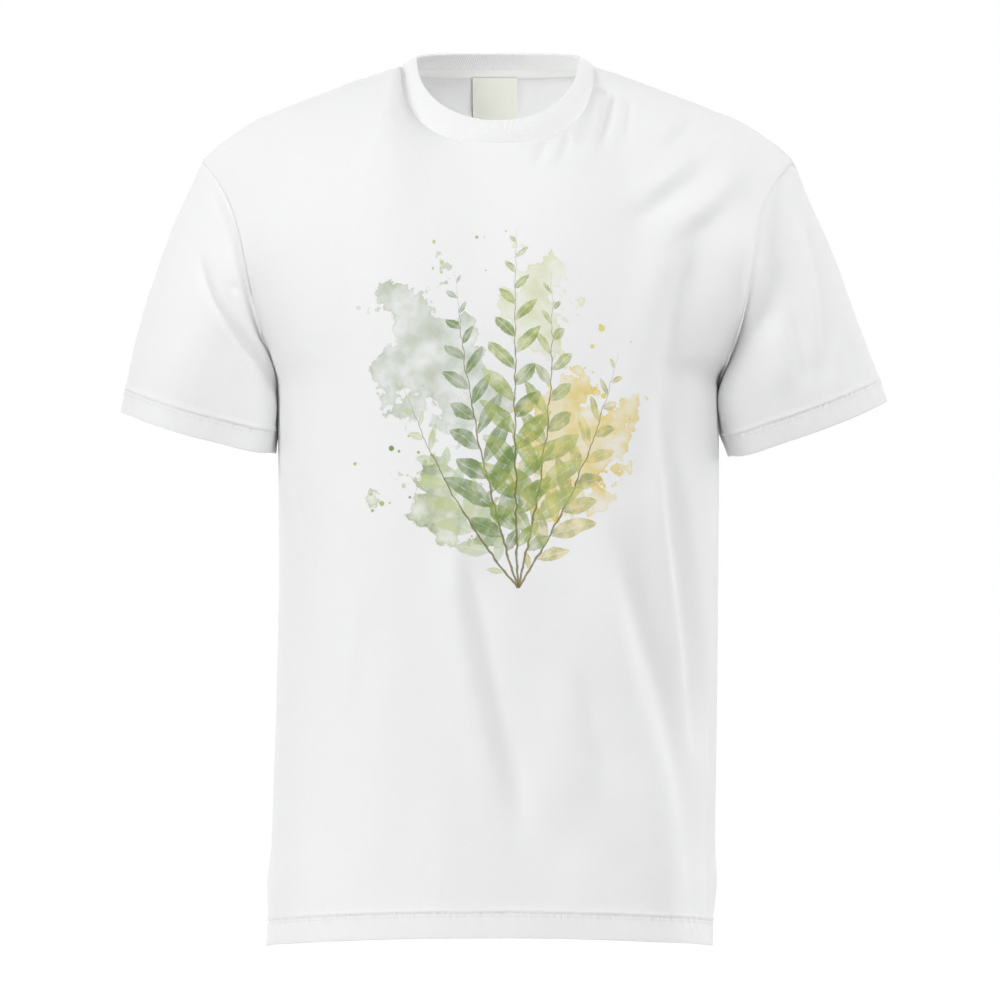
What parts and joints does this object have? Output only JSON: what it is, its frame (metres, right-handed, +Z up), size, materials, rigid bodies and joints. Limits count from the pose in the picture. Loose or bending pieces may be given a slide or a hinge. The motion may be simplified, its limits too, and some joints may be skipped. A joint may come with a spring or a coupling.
{
  "type": "t-shirt",
  "caption": "Short-sleeve crew-neck T-shirt in its worn shape, with a rib neckband, turned-up hems, a taped back neck and a bare inner label.",
  "frame": {"origin": "midway between the two high shoulder points, where the neckband meets the shoulder seams", "axes": "+X to the viewer's right, -Y out of the chest, +Z up from the hem to the neck"},
  "size_m": [0.6773, 0.284, 0.7926],
  "materials": {
    "jersey": "matte",
    "rib": "matte",
    "tape": "matte",
    "label": "satin"
  },
  "bodies": {
    "root": {"front_panel": "jersey", "back_panel": "jersey", "sleeve_left": "jersey", "sleeve_right": "jersey", "neckband": "rib", "neck_tape": "tape", "neck_label": "label"}
  },
  "joints": []
}
